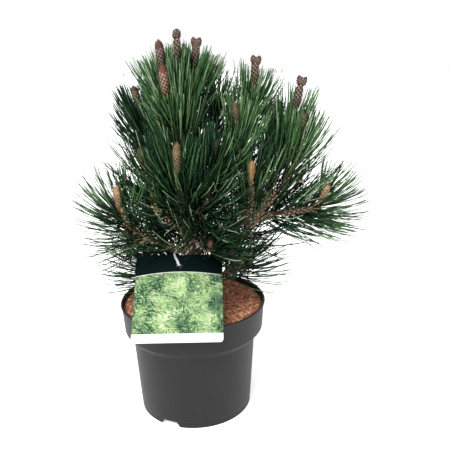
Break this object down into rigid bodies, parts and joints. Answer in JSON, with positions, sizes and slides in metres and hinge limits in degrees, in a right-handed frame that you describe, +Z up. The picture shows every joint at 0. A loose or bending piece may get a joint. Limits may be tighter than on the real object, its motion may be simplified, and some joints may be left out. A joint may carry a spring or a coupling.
{
  "type": "potted bosnian pine",
  "caption": "Young conifer with upright candles and long needles, in a round plastic nursery pot with a deep rim, with a plant label tied to its trunk.",
  "frame": {"origin": "middle of the pot's flat underside, on the surface that it stands on", "axes": "+Z up along the pot's axis, -Y towards the front, where the label leans, +X to the right as seen from the front"},
  "size_m": [0.4297, 0.3269, 0.5712],
  "materials": {
    "pot_plastic": "dark grey moulded plastic, satin",
    "potting_bark": "loose red-brown bark and fibre, matte",
    "label_card": "printed plastic card, soft gloss",
    "clear_plastic": "clear plastic strap, glossy",
    "limb_bark": "grey-brown scaly bark, matte",
    "foliage": "dark green needles with brown candles, satin"
  },
  "bodies": {
    "root": {"bough_back": "limb_bark", "bough_back_left": "limb_bark", "bough_back_low_left": "limb_bark", "bough_back_low_right": "limb_bark", "bough_back_right": "limb_bark", "bough_back_upper_right": "limb_bark", "bough_centre_front": "limb_bark", "bough_front_low": "limb_bark", "bough_front_low_left": "limb_bark", "bough_front_low_right": "limb_bark", "bough_front_right": "limb_bark", "bough_left": "limb_bark", "bough_left_front": "limb_bark", "bough_low_left": "limb_bark", "bough_low_right": "limb_bark", "bough_lower_left": "limb_bark", "bough_lower_right": "limb_bark", "bough_mid_front": "limb_bark", "bough_mid_right": "limb_bark", "bough_right": "limb_bark", "bough_right_outer": "limb_bark", "bough_upper_left": "limb_bark", "label_strap": "clear_plastic", "needles_back": "foliage", "needles_back_left": "foliage", "needles_back_low_left": "foliage", "needles_back_low_right": "foliage", "needles_back_right": "foliage", "needles_back_upper_right": "foliage", "needles_centre_front": "foliage", "needles_front_low": "foliage", "needles_front_low_left": "foliage", "needles_front_low_right": "foliage", "needles_front_right": "foliage", "needles_leader": "foliage", "needles_left": "foliage", "needles_left_front": "foliage", "needles_low_left": "foliage", "needles_low_right": "foliage", "needles_lower_left": "foliage", "needles_lower_right": "foliage", "needles_mid_front": "foliage", "needles_mid_right": "foliage", "needles_right": "foliage", "needles_right_outer": "foliage", "needles_upper_left": "foliage", "plant_label": "label_card", "pot": "pot_plastic", "potting_bark": "potting_bark", "trunk": "limb_bark"}
  },
  "joints": []
}
